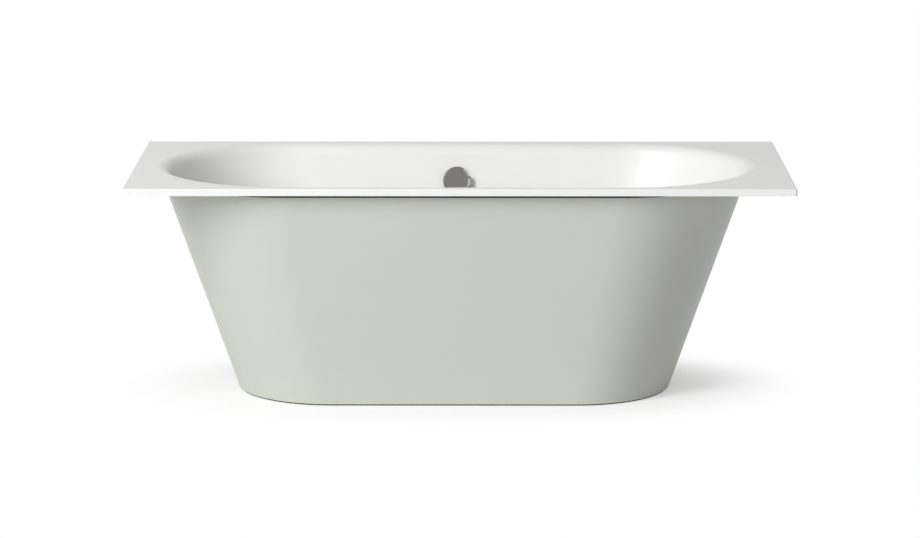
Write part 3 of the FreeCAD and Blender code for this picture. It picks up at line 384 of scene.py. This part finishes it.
def threaded_rod(name, radius, length, pitch, chamfer=1.0):
    """A screw thread along +Z from the origin, chamfered at both ends."""
    root = radius - THREAD_DEPTH * pitch
    piece = outline_chain(name, [(root, -pitch), (radius, CREST_START * pitch),
                                 (radius, CREST_END * pitch), (root, 0)])
    bpy.ops.object.mode_set(mode="OBJECT")
    turns = piece.modifiers.new("turns", "SCREW")
    turns.steps = turns.render_steps = 24
    turns.screw_offset = pitch * MM
    turns.iterations = math.ceil(length / pitch) + 2
    apply_modifiers(piece)
    bpy.ops.object.mode_set(mode="EDIT")
    bpy.ops.mesh.select_all(action="SELECT")
    bpy.ops.mesh.remove_doubles(threshold=MERGE)
    # Bisect's own threshold, 0.1 mm, is too coarse here and leaves the caps open.
    bpy.ops.mesh.bisect(plane_co=(0, 0, 0), plane_no=UP, clear_inner=True, use_fill=True,
                        threshold=MERGE)
    bpy.ops.mesh.select_all(action="SELECT")
    bpy.ops.mesh.bisect(plane_co=UP * length * MM, plane_no=UP, clear_outer=True, use_fill=True,
                        threshold=MERGE)
    close_up(piece)
    trim = 0.1                                   # taken off each end, so that it ends flat
    low, high, wide = trim, length - trim, radius + trim
    carve(piece, turned_piece("ends", [(0, low), (wide - chamfer, low), (wide, low + chamfer),
                                       (wide, high - chamfer), (wide - chamfer, high),
                                       (0, high)], 24), "INTERSECT")
    return piece


def six_sided(name, across_flats, low, high, corners_off=(True, True)):
    """A hexagon bar along +Z whose corners are turned off at one end or both."""
    bpy.ops.mesh.primitive_cylinder_add(vertices=6, radius=across_flats / math.sqrt(3) * MM,
                                        depth=(high - low) * MM,
                                        location=UP * (low + high) / 2 * MM)
    piece = bpy.context.active_object
    piece.name = name
    bpy.ops.object.transform_apply(location=True)
    wide = across_flats / math.sqrt(3) + 0.1     # just past the corners
    face = across_flats / 2 * 0.96               # the round face left at the end
    fall = (wide - face) * math.tan(math.radians(30))
    start = [(face, low), (wide, low + fall)] if corners_off[0] else [(wide, low - 1)]
    end = [(wide, high - fall), (face, high)] if corners_off[1] else [(wide, high + 1)]
    points = [(0, start[0][1])] + start + end + [(0, end[-1][1])]
    carve(piece, turned_piece("corners", points), "INTERSECT")
    return piece


def hexagon_nut(name, size, height):
    """A nut along +Z from the origin, countersunk at both ends of its bore."""
    piece = six_sided(name, FLATS[size], 0, height)
    bore = BORE[size]
    sink = 0.8                                   # depth of the countersink
    carve(piece, turned_piece("bore", [(0, -1), (bore + sink + 1, -1), (bore, sink),
                                       (bore, height - sink), (bore + sink + 1, height + 1),
                                       (0, height + 1)]))
    return piece


def cross_recess(piece, face, reach, depth):
    """Sinks a cross into a screw's head, whose face looks along -Z."""
    for across, along in ((reach, reach / 4), (reach / 4, reach)):
        bpy.ops.mesh.primitive_cube_add(size=MM, location=UP * face * MM,
                                        scale=(2 * across, 2 * along, 2 * depth))
        carve(piece, bpy.context.active_object)


def join(*pieces):
    """Several pieces as one object."""
    select_only(*pieces)
    bpy.ops.object.join()
    return pieces[0]


def spot(place, towards=UP):
    """Where a copy goes, and which way its +Z looks."""
    return Matrix.Translation(place) @ towards.to_track_quat("Z", "Y").to_matrix().to_4x4()


def set_out(model, spots):
    """Copies of a model, one at each spot, as one object at the origin."""
    copies = []
    for where in spots:
        copy = bpy.data.objects.new(model.name, model.data.copy())
        bpy.context.scene.collection.objects.link(copy)
        copy.matrix_world = where
        copies.append(copy)
    bpy.data.objects.remove(model)
    whole = join(*copies)
    bpy.ops.object.transform_apply(location=True, rotation=True, scale=True)
    return whole


def four_spots(node, half_length, half_width, height=None):
    """The middles of a CAD node's four like solids, at its lower edge or at a height."""
    low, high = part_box(node)
    z = low.z if height is None else height
    return [Vector((x, y, z)) for x in (low.x + half_length * MM, high.x - half_length * MM)
            for y in (low.y + half_width * MM, high.y - half_width * MM)]


def hexagon_spots(node, size):
    """Where a CAD node's four like nuts or bolts stand."""
    return [spot(place) for place in
            four_spots(node, FLATS[size] / 2, FLATS[size] / math.sqrt(3))]


def middle(node):
    """The middle of a CAD node's foot."""
    low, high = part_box(node)
    return Vector(((low.x + high.x) / 2, (low.y + high.y) / 2, low.z))


def hand_over(piece, *nodes):
    """Dresses a piece, which then stands for CAD nodes of one body."""
    select_only(piece)
    bpy.ops.object.shade_smooth_by_angle(angle=math.radians(32))
    piece.name = nodes[0] + "_piece"
    piece.data.materials.clear()
    piece.data.materials.append(finish(slot_of[nodes[0]]))
    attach(piece, body_of[nodes[0]])
    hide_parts(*nodes)


def soften(names, radius, sharpest=35):
    """Stands a copy with rounded edges in for each of these CAD nodes."""
    for name in names:
        piece = bpy.data.objects.new(name, frame["nodes"][name].data.copy())
        bpy.context.scene.collection.objects.link(piece)
        select_only(piece)
        bpy.ops.mesh.customdata_custom_splitnormals_clear()
        bpy.ops.object.mode_set(mode="EDIT")
        bpy.ops.mesh.select_all(action="SELECT")
        bpy.ops.mesh.remove_doubles(threshold=MERGE)
        bpy.ops.mesh.dissolve_limited(angle_limit=math.radians(0.5))
        bpy.ops.object.mode_set(mode="OBJECT")
        rounding = piece.modifiers.new("rounding", "BEVEL")
        rounding.width = radius
        rounding.segments = 2
        rounding.limit_method = "ANGLE"
        rounding.angle_limit = math.radians(sharpest)
        rounding.use_clamp_overlap = True
        apply_modifiers(piece)
        hand_over(piece, name)


# ---- Studio ----------------------------------------------------------------
def seen_directly(material):
    """1 for rays of the camera and for mirror and glass rays, 0 for the light itself."""
    path = add_node(material, "LightPath")
    either = add_node(material, "Math", links={0: path.outputs["Is Camera Ray"],
                                               1: path.outputs["Is Glossy Ray"]},
                      operation="MAXIMUM").outputs["Value"]
    return add_node(material, "Math", links={0: either, 1: path.outputs["Is Transmission Ray"]},
                    operation="MAXIMUM").outputs["Value"]


def studio_floor():
    """A wide matt floor whose own shadow stays, and which fades to white far out."""
    bpy.ops.object.select_all(action="DESELECT")
    bpy.ops.mesh.primitive_circle_add(vertices=96, radius=60, fill_type="NGON",
                                      location=(0, 0, -0.0005))
    floor = bpy.context.active_object
    floor.name = "studio_floor"
    bpy.ops.object.transform_apply(location=True)
    material = bpy.data.materials.new("matt white studio floor")
    material.use_nodes = True
    tree = material.node_tree
    output = tree.nodes["Material Output"]
    tree.nodes.remove(tree.nodes["Principled BSDF"])
    # What the camera sees is part lit surface, which holds the shadow, and part plain white.
    lit = 0.58
    shade = add_node(material, "BsdfDiffuse", {"Color": (lit, lit, lit, 1)})
    lift = add_node(material, "Emission", {"Color": (1, 1, 1, 1), "Strength": 1 - lit})
    white = add_node(material, "Emission", {"Color": (1, 1, 1, 1), "Strength": 1.0})
    lifted = add_node(material, "AddShader", links={0: shade.outputs[0], 1: lift.outputs[0]})
    # The fade to white starts at the edge of an oval as long as the bath and its shadow.
    place = add_node(material, "TexCoord").outputs["Object"]
    oval = add_node(material, "VectorMath", {1: (0.53, 1, 1)}, {0: place}, operation="MULTIPLY")
    far = add_node(material, "VectorMath", links={0: oval.outputs["Vector"]},
                   operation="LENGTH").outputs["Value"]
    fade = add_node(material, "MapRange", {"From Min": 0.27, "From Max": 0.50}, {"Value": far},
                    interpolation_type="SMOOTHSTEP").outputs["Result"]
    shown = add_node(material, "MixShader", links={0: fade, 1: lifted.outputs[0],
                                                   2: white.outputs[0]})
    # All other light meets plain matt white paint.
    plain = add_node(material, "BsdfDiffuse", {"Color": (0.80, 0.80, 0.80, 1)})
    either = add_node(material, "MixShader", links={0: seen_directly(material),
                                                    1: plain.outputs[0], 2: shown.outputs[0]})
    tree.links.new(either.outputs[0], output.inputs["Surface"])
    floor.data.materials.append(material)


def studio_room(strength):
    """Even light all round, and plain white wherever the room itself is seen."""
    world = bpy.data.worlds.new("studio room")
    bpy.context.scene.world = world
    world.use_nodes = True
    background = world.node_tree.nodes["Background"]
    background.inputs["Color"].default_value = (1, 1, 1, 1)
    level = add_node(world, "MapRange", {"To Min": strength, "To Max": 1.0},
                     {"Value": seen_directly(world)})
    world.node_tree.links.new(level.outputs["Result"], background.inputs["Strength"])


def softbox(name, place, target, width, height, power):
    """A rectangular lamp that looks at a point."""
    lamp = bpy.data.lights.new(name, "AREA")
    lamp.shape = "RECTANGLE"
    lamp.size = width
    lamp.size_y = height
    lamp.energy = power
    holder = bpy.data.objects.new(name, lamp)
    bpy.context.scene.collection.objects.link(holder)
    holder.location = place
    holder.rotation_euler = (Vector(target) - Vector(place)).to_track_quat("-Z", "Y").to_euler()


def camera_at_photo(lens):
    """The photograph's view: slightly above, square to the front, from far away."""
    bpy.ops.object.camera_add(location=(0.026, -8.933, 2.100),
                              rotation=(math.radians(78.67), 0, math.radians(0.17)))
    camera = bpy.context.active_object
    camera.data.lens = lens
    camera.data.sensor_width = 36
    bpy.context.scene.camera = camera


# ---- Operators -------------------------------------------------------------
class BATH_OT_shell(bpy.types.Operator):
    """Finishes the enamelled shell"""
    bl_idname = "bath.shell"
    bl_label = "Enamelled shell"

    def execute(self, context):
        dress("bath_shell")
        return {"FINISHED"}


class BATH_OT_skirt(bpy.types.Operator):
    """Finishes the skirt with its foot seal and top trim"""
    bl_idname = "bath.skirt"
    bl_label = "Skirt and its rubber"

    def execute(self, context):
        dress("skirt", "skirt_foot_seal", "skirt_top_trim")
        return {"FINISHED"}


class BATH_OT_frame(bpy.types.Operator):
    """Rounds the folded crossbars and makes their nuts"""
    bl_idname = "bath.frame"
    bl_label = "Leg frame"

    def execute(self, context):
        dress("bar_pads")
        soften(("left_crossbar", "right_crossbar"), context.scene.bath_details.folded_edge)
        for name in ("weld_nuts", "lock_nuts"):
            low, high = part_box(name)
            nut = hexagon_nut(name, "M12", (high.z - low.z) / MM)
            hand_over(set_out(nut, hexagon_spots(name, "M12")), name)
        return {"FINISHED"}


class BATH_OT_feet(bpy.types.Operator):
    """Makes the four levelling feet: threaded studs in ribbed plastic pads"""
    bl_idname = "bath.feet"
    bl_label = "Levelling feet"

    def stud(self, pitch):
        """An M12 stud with a hexagon socket in its top"""
        low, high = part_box("front_left_stud")
        length = (high.z - low.z) / MM
        piece = threaded_rod("stud", SHANK["M12"], length, pitch, 1.4)
        key, depth = 5, 6                        # of the socket for a hexagon key
        carve(piece, six_sided("socket", key, length - depth, length + 1, (False, False)))
        return piece

    def pad(self):
        """A foot with a grooved sole, eight ribs and a collar round the stud"""
        sole = [(0, 0.4), (7, 0.4), (8, 0), (11, 0), (12, 1.2), (14, 1.2), (15, 0), (18, 0),
                (19, 1.2), (21, 1.2), (22, 0), (26, 0), (27, 1)]
        slope = [(27, 4), (26, 5), (20, 5.6), (15, 8), (12.4, 12)]
        collar = [(11.6, 18), (11.6, 23.2), (10.8, 24), (6.4, 24), (6.1, 23), (6.1, 6), (0, 6)]
        piece = turned_piece("pad", sole + slope + collar, 64)
        # One rib: a bar from the collar to the rim, cut along the slope, then set out eight times.
        bpy.ops.mesh.primitive_cube_add(size=MM, location=Vector((16.2, 0, 9.5)) * MM,
                                        scale=(15.5, 1.8, 10))
        ribs = bpy.context.active_object
        bpy.ops.object.transform_apply(location=True, scale=True)
        bpy.ops.object.mode_set(mode="EDIT")
        bpy.ops.mesh.select_all(action="SELECT")
        bpy.ops.mesh.bisect(plane_co=Vector((24, 0, 5)) * MM, plane_no=(10.5, 0, 10.5),
                            clear_outer=True, use_fill=True)
        bpy.ops.mesh.select_all(action="SELECT")
        bpy.ops.mesh.spin(steps=8, dupli=True, angle=math.tau, center=(0, 0, 0), axis=UP)
        close_up(ribs)
        return join(piece, ribs)

    def execute(self, context):
        stud = self.stud(context.scene.bath_details.foot_pitch / MM)
        pad = self.pad()
        for corner in CORNERS:
            for model, name in ((stud, corner + "_stud"), (pad, corner + "_foot")):
                copy = bpy.data.objects.new(name, model.data.copy())
                bpy.context.scene.collection.objects.link(copy)
                hand_over(set_out(copy, [spot(middle(name))]), name)
        for model in (stud, pad):
            bpy.data.objects.remove(model)
        return {"FINISHED"}


class BATH_OT_fixings(bpy.types.Operator):
    """Rounds the skirt's blocks and brackets and makes their bolts, nuts and screws"""
    bl_idname = "bath.fixings"
    bl_label = "Skirt fixings"

    def execute(self, context):
        details = context.scene.bath_details
        soften(("skirt_fixing_blocks",), details.moulded_edge)
        soften(("skirt_brackets",), details.folded_edge)

        low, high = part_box("bracket_bolts")
        head = 5.3
        length = (high.z - low.z) / MM - head
        bolt = join(six_sided("bolt", FLATS["M8"], length, length + head, (False, True)),
                    threaded_rod("thread", SHANK["M8"], length + 0.5, details.bolt_pitch / MM, 0.8))
        hand_over(set_out(bolt, hexagon_spots("bracket_bolts", "M8")), "bracket_bolts")
        low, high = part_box("bracket_nuts")
        nut = hexagon_nut("nut", "M8", (high.z - low.z) / MM)
        hand_over(set_out(nut, hexagon_spots("bracket_nuts", "M8")), "bracket_nuts")

        wide, tall, shank, length = 5, 3.5, 2.5, 9
        head = turned_piece("screw", [(0, 0), (wide, 0), (wide, -1.2), (4.4, -2.5), (3, -3.3),
                                      (0, -tall)])
        cross_recess(head, -tall, 2.2, 2)
        screw = join(head, threaded_rod("thread", shank, length, details.screw_pitch / MM, 0.9))
        low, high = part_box("block_screws")
        spots = [spot(Vector((p.x, math.copysign(high.y - length * MM, p.y), p.z)),
                      Vector((0, math.copysign(1, p.y), 0)))
                 for p in four_spots("block_screws", wide, wide, (low.z + high.z) / 2)]
        hand_over(set_out(screw, spots), "block_screws")
        return {"FINISHED"}


class BATH_OT_underside(bpy.types.Operator):
    """Finishes the damping mats and makes the earthing point"""
    bl_idname = "bath.underside"
    bl_label = "Mats and earthing"

    def execute(self, context):
        details = context.scene.bath_details
        dress("sound_mats")
        soften(("earth_tab",), details.folded_edge)
        along = Vector((1, 0, 0))
        low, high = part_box("earth_bolt")
        centre = Vector((low.x, (low.y + high.y) / 2, (low.z + high.z) / 2))
        length = (high.x - low.x) / MM
        bolt = join(six_sided("bolt", FLATS["M6"], 0, 4, (True, False)),
                    threaded_rod("thread", SHANK["M6"], length, details.earth_pitch / MM, 0.7))
        hand_over(set_out(bolt, [spot(centre, along)]), "earth_bolt")
        low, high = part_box("earth_nut")
        nut = hexagon_nut("nut", "M6", (high.x - low.x) / MM)
        centre.x = low.x
        hand_over(set_out(nut, [spot(centre, along)]), "earth_nut")
        return {"FINISHED"}


class BATH_OT_overflow(bpy.types.Operator):
    """Rounds the turning knob and the fitting behind it"""
    bl_idname = "bath.overflow"
    bl_label = "Overflow fitting"

    def execute(self, context):
        edge = context.scene.bath_details.moulded_edge
        dress("overflow_seal", "overflow_face_seal", "knob_spindle", "overflow_screws")
        soften(("overflow_knob", "overflow_body", "overflow_plate"), edge)
        soften(("cable_drum",), edge / 2)
        return {"FINISHED"}


class BATH_OT_waste(bpy.types.Operator):
    """Rounds the plug, its seat and its lift, and the waste body"""
    bl_idname = "bath.waste"
    bl_label = "Waste and plug"

    def execute(self, context):
        edge = context.scene.bath_details.moulded_edge
        dress("waste_upper_seal", "waste_lower_seal", "plug_stem", "lever_shaft")
        soften(("waste_body",), edge)
        soften(("waste_flange", "plug_cap", "plug_guide", "lift_lever", "cable_crank"), edge / 2)
        soften(("plug_seal", "cable_end"), edge / 3)
        return {"FINISHED"}


class BATH_OT_pipes(bpy.types.Operator):
    """Finishes the overflow pipe and the trap, and rounds their nuts"""
    bl_idname = "bath.pipes"
    bl_label = "Overflow pipe and trap"

    def execute(self, context):
        edge = context.scene.bath_details.moulded_edge
        dress("overflow_pipe", "pipe_seals", "trap_seals")
        soften(("pipe_nuts", "trap_nuts"), edge)
        soften(("trap_bend", "trap_outlet"), edge / 2, 60)
        return {"FINISHED"}


class BATH_OT_cable(bpy.types.Operator):
    """Finishes the control cable and rounds its ferrules and clips"""
    bl_idname = "bath.cable"
    bl_label = "Control cable"

    def execute(self, context):
        edge = context.scene.bath_details.moulded_edge
        dress("control_cable")
        soften(("cable_ferrules",), edge / 3)
        soften(("cable_clips",), edge)
        return {"FINISHED"}


class BATH_OT_studio(bpy.types.Operator):
    """Sets up floor, room, lamps and camera"""
    bl_idname = "bath.studio"
    bl_label = "Studio"

    def execute(self, context):
        studio = context.scene.bath_studio
        studio_floor()
        studio_room(studio.ambient)
        softbox("key_lamp", place=(-5.3, -5.9, 5.2), target=(0, 0, 0.35),
                width=3.4, height=6.4, power=studio.key_power)
        softbox("fill_lamp", place=(3.6, -6.8, 2.4), target=(0, 0, 0.3),
                width=5.0, height=2.0, power=studio.fill_power)
        camera_at_photo(studio.lens)
        context.scene.view_settings.view_transform = "Standard"
        return {"FINISHED"}


class BATH_PT_sidebar(bpy.types.Panel):
    """The bath's colours, details and steps"""
    bl_idname = "BATH_PT_sidebar"
    bl_label = "Back-to-wall bath"
    bl_space_type = "VIEW_3D"
    bl_region_type = "UI"
    bl_category = "Bath"

    def draw(self, context):
        scene = context.scene
        for group in (scene.bath_colours, scene.bath_details, scene.bath_studio):
            box = self.layout.box()
            for name in group.__annotations__:
                box.prop(group, name)
        for operator in OPERATORS:
            self.layout.operator(operator.bl_idname)


GROUPS = {"bath_colours": BathColours, "bath_details": BathDetails, "bath_studio": BathStudio}
OPERATORS = (BATH_OT_shell, BATH_OT_skirt, BATH_OT_frame, BATH_OT_feet, BATH_OT_fixings,
             BATH_OT_underside, BATH_OT_overflow, BATH_OT_waste, BATH_OT_pipes, BATH_OT_cable,
             BATH_OT_studio)


def register():
    """Registers the groups, the operators and the panel."""
    for name, group in GROUPS.items():
        bpy.utils.register_class(group)
        setattr(bpy.types.Scene, name, bpy.props.PointerProperty(type=group))
    for made in (*OPERATORS, BATH_PT_sidebar):
        bpy.utils.register_class(made)


def unregister():
    """Takes them off again."""
    for made in (BATH_PT_sidebar, *reversed(OPERATORS)):
        bpy.utils.unregister_class(made)
    for name, group in GROUPS.items():
        delattr(bpy.types.Scene, name)
        bpy.utils.unregister_class(group)


def main():
    """Runs every step in order."""
    register()
    bpy.ops.bath.shell()
    bpy.ops.bath.skirt()
    bpy.ops.bath.frame()
    bpy.ops.bath.feet()
    bpy.ops.bath.fixings()
    bpy.ops.bath.underside()
    bpy.ops.bath.overflow()
    bpy.ops.bath.waste()
    bpy.ops.bath.pipes()
    bpy.ops.bath.cable()
    bpy.ops.bath.studio()


if __name__ == "__main__":
    main()
